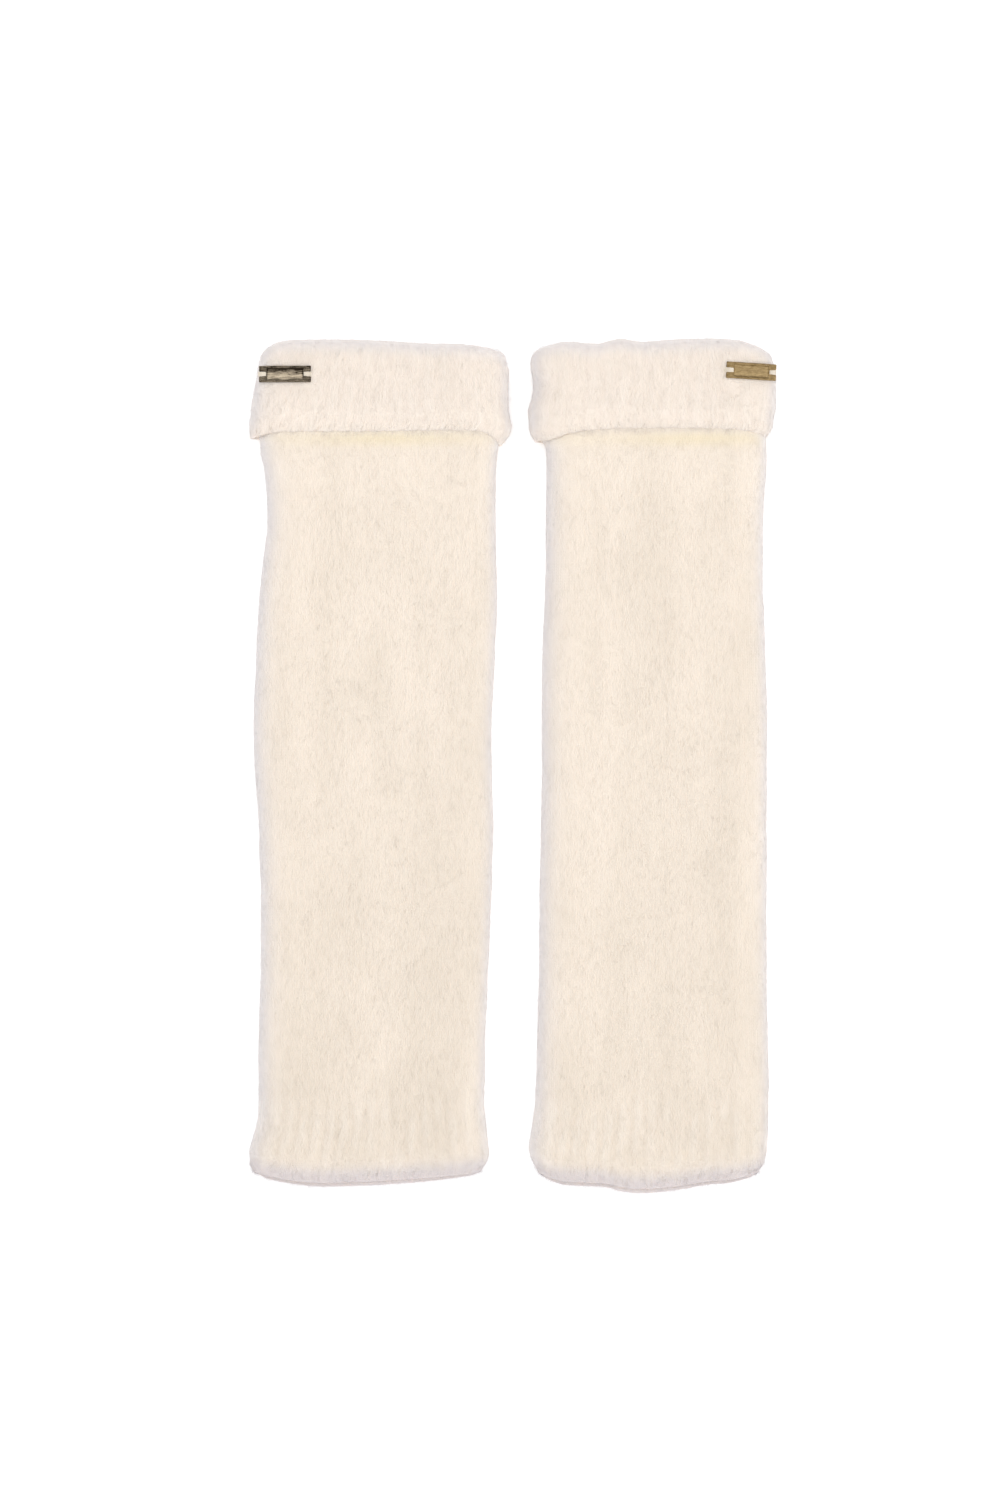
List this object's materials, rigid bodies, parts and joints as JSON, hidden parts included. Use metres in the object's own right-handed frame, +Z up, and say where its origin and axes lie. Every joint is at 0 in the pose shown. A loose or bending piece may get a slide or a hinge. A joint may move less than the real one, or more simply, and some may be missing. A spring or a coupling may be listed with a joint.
{
  "type": "pair of knitted leg warmers",
  "caption": "Pair of brushed-knit leg warmers lying flat: tubes with a ribbed hem, a turned-down ribbed cuff and a small sewn-on metal plate, worn over the lower legs for warmth",
  "frame": {"origin": "on the surface the pair lies on, below the middle of the pair's box", "axes": "X runs across the pair from the left warmer to the right one, Y up the legs from the hems to the turned cuffs, Z up from the surface"},
  "size_m": [0.2644, 0.4256, 0.0214],
  "materials": {
    "brushed_knit": "brushed, fluffy plain knit",
    "ribbed_knit": "brushed, fluffy two-by-two rib",
    "plate_metal": "aged gold tone, softly polished"
  },
  "bodies": {
    "root": {"left_leg_tube": "brushed_knit", "right_leg_tube": "brushed_knit", "left_turned_cuff": "ribbed_knit", "right_turned_cuff": "ribbed_knit", "left_hem_rib": "ribbed_knit", "right_hem_rib": "ribbed_knit", "left_metal_plate": "plate_metal", "right_metal_plate": "plate_metal"}
  },
  "joints": []
}
